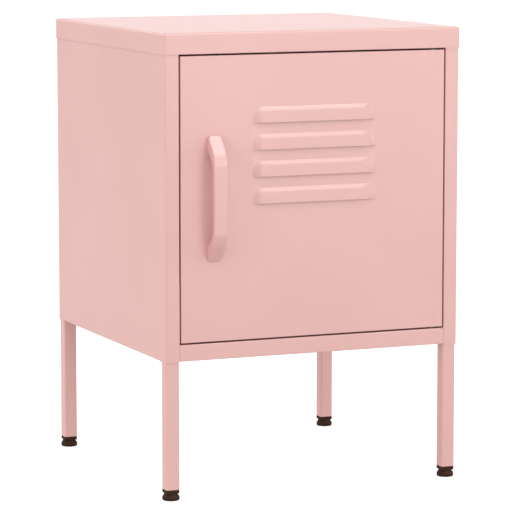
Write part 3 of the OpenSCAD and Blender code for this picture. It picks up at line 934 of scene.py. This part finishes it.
def buildLowerPin():
    head, chamfer, dome = (pinHigh.x - pinLow.x) / 2, hingeLook["chamfer"], hingeLook["headDome"]
    headTop, height = hingeLook["pinHead"], pinHigh.z - pinLow.z
    bm = turned([(0, 0), (head * 0.55, 0.15 * dome), (head * 0.88, 0.7 * dome), (head, 1.6 * dome),
                 (head, headTop), (pinRadius, headTop), (pinRadius, height - chamfer),
                 (pinRadius - chamfer, height), (0, height)], 40)
    placed(bm, (pivot.x, pivot.y, pinLow.z))
    addPiece("lowerHingePin", bm, "cabinet", pinSteel, ["lower_hinge_pin"], edge=0)


def buildBracket():            # a U of strip steel whose two arms guide the pin
    low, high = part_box("upper_hinge_bracket")
    bm = runStrip([(low.x, low.y, low.z), (high.x, low.y, low.z), (high.x, low.y, high.z),
                   (low.x, low.y, high.z)], (0, high.y - low.y, 0))
    roundCorners(bm, pick(bm.verts, x=low.x), hingeLook["bracketCorner"])
    roundEdges(bm, folds(bm.edges), hingeLook["bracketBend"], 4)
    faceTowards(bm, (1, 0, 0))
    addPiece("upperHingeBracket", bm, "door", pinSteel, ["upper_hinge_bracket"],
             hingeLook["bracketWall"])


def buildUpperPin():           # straight pin with a clip groove, bent for a finger at its lower end
    low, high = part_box("upper_hinge_pin")
    clipLow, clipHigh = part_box("upper_pin_clip")
    bend, chamfer = pinRadius * 2, hingeLook["chamfer"]
    gripZ, groove = low.z + pinRadius, pinRadius - hingeLook["clipGroove"]
    steps = [(pinRadius - chamfer, high.z), (pinRadius, high.z - chamfer), (pinRadius, clipHigh.z),
             (groove, clipHigh.z), (groove, clipLow.z), (pinRadius, clipLow.z), (pinRadius, gripZ + bend)]
    bm = bmesh.new()
    bmesh.ops.create_circle(bm, segments=28, radius=steps[0][0], cap_ends=True)
    shift(bm, (0, 0, high.z))
    loop = bm.edges[:]
    for (size, level), (nextSize, nextLevel) in zip(steps, steps[1:]):
        loop = foldOut(bm, loop, (0, 0, nextLevel - level))
        bmesh.ops.scale(bm, verts=cornersOf(loop), vec=(nextSize / size, nextSize / size, 1))
    made = bmesh.ops.spin(bm, geom=loop, cent=(-bend, 0, gripZ + bend), axis=(0, 1, 0),
                          angle=math.pi / 2, steps=10, use_merge=False)
    loop = [g for g in made["geom_last"] if isinstance(g, bmesh.types.BMEdge)]
    loop = foldOut(bm, loop, (low.x - pivot.x + bend + chamfer, 0, 0))
    loop = foldOut(bm, loop, (-chamfer, 0, 0))
    shrink = 1 - chamfer / pinRadius
    bmesh.ops.scale(bm, verts=cornersOf(loop), vec=(1, shrink, shrink),
                    space=Matrix.Translation((0, 0, -gripZ)))
    bmesh.ops.holes_fill(bm, edges=loop, sides=0)
    bmesh.ops.remove_doubles(bm, verts=bm.verts[:], dist=0.001 * mm)
    faceOut(bm)
    shift(bm, (pivot.x, pivot.y, 0))
    addPiece("upperHingePin", bm, "hinge_pin", pinSteel, ["upper_hinge_pin"], edge=0)


springLook = {"turns": 7, "stepsPerTurn": 28, "sides": 8, "wire": 0.4 * mm}


def buildSpring():
    low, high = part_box("upper_pin_spring")
    wire = springLook["wire"]
    coil = (high.x - low.x) / 2 - wire
    steps = springLook["turns"] * springLook["stepsPerTurn"]
    rise = high.z - low.z - 2 * wire
    bm = bmesh.new()
    bmesh.ops.create_circle(bm, segments=springLook["sides"], radius=wire, cap_ends=True)
    bmesh.ops.rotate(bm, verts=bm.verts[:], cent=(0, 0, 0), matrix=Matrix.Rotation(math.pi / 2, 3, "X"))
    shift(bm, (coil, 0, 0))
    bmesh.ops.spin(bm, geom=bm.faces[:], cent=(0, 0, 0), axis=(0, 0, 1), dvec=(0, 0, rise / steps),
                   angle=2 * math.pi * springLook["turns"], steps=steps, use_merge=False)
    faceOut(bm)
    placed(bm, (pivot.x, pivot.y, low.z + wire))
    spring = addPiece("upperPinSpring", bm, "door", zinc, ["upper_pin_spring"], edge=0)
    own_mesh(spring)


buildBush("upperHingeBush", "upper_hinge_bush", "cabinet")
buildBush("lowerHingeBush", "lower_hinge_bush", "door")
buildLowerPin()
buildBracket()
buildUpperPin()
buildSpring()
print("hinges made")

doorLook = {
    "fold": 0.45 * mm,
    "lip": 8 * mm,             # width of the lips behind the side and lower edges
    "topLip": 12 * mm,
    "margin": 6 * mm,          # plain border kept round the louvred field
}

louvreLook = {
    "count": 4,
    "width": 147 * mm,
    "height": 17 * mm,
    "pitch": 29.2 * mm,
    "first": 147.4 * mm,       # slit of the lowest louvre above the door's lower edge
    "corner": 12.5 * mm,
    "out": 3.2 * mm,
    "ramp": 5.2 * mm,          # how far below its upper outline a hood reaches its full height
    "sideRamp": 11 * mm,
    "rings": 7,
    "shoulder": 1.1,           # power of the hood's curve: a higher one starts it more gently
}


def raiseLouvre(bm, face, slit):   # presses one outline out into a hood that is open along its slit
    look = louvreLook
    width, height, done = look["width"], look["height"], 0.0
    for ring in range(1, look["rings"] + 1):
        share = ring / look["rings"]
        rise = look["out"] * math.sin(share * math.pi / 2) ** look["shoulder"]
        face = pressOut(bm, [face], (0, done - rise, 0))[0]
        newWidth = look["width"] - 2 * look["sideRamp"] * share
        newHeight = look["height"] - look["ramp"] * share
        bmesh.ops.scale(bm, verts=face.verts[:], vec=(newWidth / width, 1, newHeight / height),
                        space=Matrix.Translation((0, 0, -slit)))
        width, height, done = newWidth, newHeight, rise
    bmesh.ops.delete(bm, geom=pick(bm.faces, z=slit), context="FACES")


def buildDoor():
    x, z0, z1 = doorHigh.x, doorLow.z, doorHigh.z
    look, hood = doorLook, louvreLook
    bm = runStrip([(-x, frontY, z0), (x, frontY, z0)], (0, 0, z1 - z0))
    bmesh.ops.inset_region(bm, faces=bm.faces[:], thickness=look["margin"], use_even_offset=True)
    inner = max(bm.faces, key=lambda f: f.calc_area())
    border = inner.edges[:]
    bmesh.ops.delete(bm, geom=[inner], context="FACES_ONLY")
    outlines, slits = [], []
    for i in range(hood["count"]):
        slit = z0 + hood["first"] + i * hood["pitch"]
        made = bmesh.ops.create_grid(bm, x_segments=1, y_segments=1, size=0.5)["verts"]
        bmesh.ops.scale(bm, verts=made, vec=(hood["width"], hood["height"], 1))
        bmesh.ops.rotate(bm, verts=made, cent=(0, 0, 0), matrix=Matrix.Rotation(math.pi / 2, 3, "X"))
        bmesh.ops.translate(bm, verts=made, vec=(0, frontY, slit + hood["height"] / 2))
        roundCorners(bm, [v for v in made if v.co.z > slit + hood["height"] / 2], hood["corner"], 8)
        outlines += pick(bm.faces, y=frontY, z=(slit, slit + hood["height"]))
        slits.append(slit)
    around = border + [e for f in outlines for e in f.edges]
    bmesh.ops.triangle_fill(bm, use_beauty=True, use_dissolve=False, edges=around)
    back = foldOut(bm, [e for e in bm.edges if e.is_boundary], (0, foldDepth, 0))
    for v in cornersOf(foldOut(bm, back, (0, 0, 0))):      # the lips, turned in behind the face
        v.co.x -= math.copysign(look["lip"], v.co.x)
        v.co.z -= look["topLip"] if v.co.z > (z0 + z1) / 2 else -look["lip"]
    roundEdges(bm, folds(bm.edges), look["fold"])
    faceTowards(bm, (0, -1, 0))
    for slit in slits:
        face = max(pick(bm.faces, y=frontY, z=(slit, slit + hood["height"])), key=lambda f: f.calc_area())
        raiseLouvre(bm, face, slit)
    addPiece("doorSkin", bm, "door", pinkCoat, ["door_panel"], wall)


handleLook = {
    "frontRun": 0.335,         # half the straight front, as a share of the whole length
    "frontCorner": 10 * mm,    # bend at each end of the front, measured along its sides
    "innerRun": 0.28,
    "innerCorner": 9 * mm,
    "endRound": 4.5 * mm,      # rounding of each end, seen from the front
    "pad": 16 * mm,            # height of the foot at each end
    "tip": 2.4 * mm,           # thickness left at the very end
    "thickness": 5 * mm,
    "edge": 0.9 * mm,
}


def buildHandle():
    low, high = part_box("door_handle")
    look = handleLook
    centreX, middle, half = (low.x + high.x) / 2, (low.z + high.z) / 2, (high.z - low.z) / 2
    front, inner = 2 * half * look["frontRun"], 2 * half * look["innerRun"]
    innerY, tip, rounding = low.y + look["thickness"], high.y - look["tip"], look["endRound"]
    pad = half - look["pad"]
    corners = [(high.y, -half), (tip, -half), (low.y, -front), (low.y, front), (tip, half),
               (high.y, half), (high.y, pad), (innerY, inner), (innerY, -inner), (high.y, -pad)]
    bm = bmesh.new()
    verts = [bm.verts.new((low.x, y, middle + z)) for y, z in corners]
    bm.faces.new(verts)
    roundCorners(bm, pick(bm.verts, y=low.y), look["frontCorner"], 8)
    roundCorners(bm, pick(bm.verts, y=innerY), look["innerCorner"], 6)
    made = bmesh.ops.extrude_face_region(bm, geom=bm.faces[:])
    bmesh.ops.translate(bm, verts=newVerts(made), vec=(high.x - low.x, 0, 0))
    ends = [half - rounding * (1 - math.sin(math.radians(15 * i))) for i in range(6)]
    cutAt(bm, "z", *[middle + side * z for side in (-1, 1) for z in ends])
    for v in bm.verts:         # each end drawn in on both sides, to quarters of a circle
        past = min(abs(v.co.z - middle) - half + rounding, rounding)
        if past > 0:
            pull = rounding - math.sqrt(rounding ** 2 - past ** 2)
            v.co.x -= math.copysign(pull, v.co.x - centreX)
    faceOut(bm)
    outline = [e for e in folds(bm.edges) if not pick([e], y=high.y) and
               (pick([e], y=tip) or (e.verts[0].co.x - centreX) * (e.verts[1].co.x - centreX) > 0)]
    roundEdges(bm, outline, look["edge"], 4)
    addPiece("handleBow", bm, "door", pinkCoat, ["door_handle"])

    low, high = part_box("handle_screws")
    radius, start = fastenerLook["handleScrew"], high.y - screwLook["headHeight"]
    x = (low.x + high.x) / 2
    outwards = [((x, start, z), (0, -1, 0)) for z in (low.z + 2 * radius, high.z - 2 * radius)]
    addFasteners("handleScrews", "handle_screws", "door", lambda: panHeadScrew(radius, start - low.y),
                 outwards)


buildDoor()
buildHandle()
print("door made")

for node, finish in (("catch_magnet", magnetBlack), ("catch_plates", zinc),
                     ("lower_hinge_plate", pinSteel), ("upper_pin_clip", pinSteel)):
    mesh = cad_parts[node].data
    mesh.materials.clear()
    mesh.materials.append(finish)
print("carried parts finished")

# Floor, light and camera
studio = {
    "floorSize": 60,
    "floorColour": (0.45, 0.45, 0.45, 1),
    "floorGlow": 0.75,         # the sweep is lit from behind, so that it stays white
    "floorBounce": 0.30,       # and this much of that light reaches the cabinet
    "ambient": 0.84,           # light from all round; the camera sees it as full white
    "aim": (0, 0, 0.3),
    "softboxes": {             # place, size, watts, and whether it lights or is only mirrored
        "frontBox": ((0.9, -3.6, 1.5), 2.0, 22, True),
        "leftBox": ((-3.6, -1.2, 1.2), 2.2, 42, True),
        "rightBox": ((3.6, -1.0, 1.2), 2.2, 42, True),
        "rearBox": ((-2.0, 3.2, 2.3), 1.6, 42, True),
        "topBox": ((-0.4, -1.1, 2.6), 1.4, 7, True),
        "overheadCard": ((0.45, -1.3, 2.7), 2.4, 82, False),
        "backCard": ((1.3, 3.2, 1.0), 1.8, 5, False),
        "frontCard": ((1.5, -3.3, 0.6), 2.2, 36, False),
    },
}


def whiteForCamera(tree, socket, strength, seen):  # one strength for the light given, another as seen
    rays = addNode(tree, "LightPath").outputs["Is Camera Ray"]
    tree.links.new(mapRange(tree, rays, 0, 1, strength, seen), socket)


def buildStudioFloor():
    bm = bmesh.new()
    bmesh.ops.create_grid(bm, x_segments=1, y_segments=1, size=studio["floorSize"] / 2)
    mesh = bpy.data.meshes.new("studioFloor")
    bm.to_mesh(mesh)
    bm.free()
    paper = bpy.data.materials.new("studioPaper")
    paper.use_nodes = True
    sockets = paper.node_tree.nodes["Principled BSDF"].inputs
    for label, value in (("Base Color", studio["floorColour"]), ("Roughness", 0.9),
                         ("Specular IOR Level", 0.1), ("Emission Color", (1, 1, 1, 1))):
        sockets[label].default_value = value
    whiteForCamera(paper.node_tree, sockets["Emission Strength"], studio["floorBounce"],
                   studio["floorGlow"])
    mesh.materials.append(paper)
    floor = bpy.data.objects.new("studioFloor", mesh)
    scene.collection.objects.link(floor)


def aimed(thing, place, aim):
    thing.location = place
    thing.rotation_euler = (Vector(aim) - Vector(place)).to_track_quat("-Z", "Y").to_euler()
    scene.collection.objects.link(thing)
    return thing


def addSoftbox(name, place, size, power, lights):
    light = bpy.data.lights.new(name, "AREA")
    light.shape, light.size, light.energy = "DISK", size, power
    softbox = aimed(bpy.data.objects.new(name, light), place, studio["aim"])
    softbox.visible_diffuse, softbox.visible_camera = lights, False


def lightScene():
    world = bpy.data.worlds.new("softRoom")
    world.use_nodes = True
    room = world.node_tree.nodes["Background"].inputs
    room["Color"].default_value = (1, 1, 1, 1)
    whiteForCamera(world.node_tree, room["Strength"], studio["ambient"], 1)
    scene.world = world
    for name, (place, size, power, lights) in studio["softboxes"].items():
        addSoftbox(name, place, size, power, lights)


camera = {
    "aim": (0.0065, 0.010, 0.2358),
    "azimuth": -22.975,        # degrees round the object, to the left of its front
    "elevation": 7.49,
    "distance": 3.393,
    "lens": 207,
    "sensor": 36,
}


def placeCamera():
    turn, lift = math.radians(camera["azimuth"]), math.radians(camera["elevation"])
    away = Vector((math.sin(turn) * math.cos(lift), -math.cos(turn) * math.cos(lift), math.sin(lift)))
    data = bpy.data.cameras.new("studioCamera")
    data.lens, data.sensor_width = camera["lens"], camera["sensor"]
    data.clip_end = 2 * studio["floorSize"]
    place = Vector(camera["aim"]) + away * camera["distance"]
    scene.camera = aimed(bpy.data.objects.new("studioCamera", data), place, camera["aim"])


buildStudioFloor()
lightScene()
placeCamera()
scene.view_settings.view_transform = "Standard"
print("floor, light and camera placed")

bpy.context.view_layer.update()
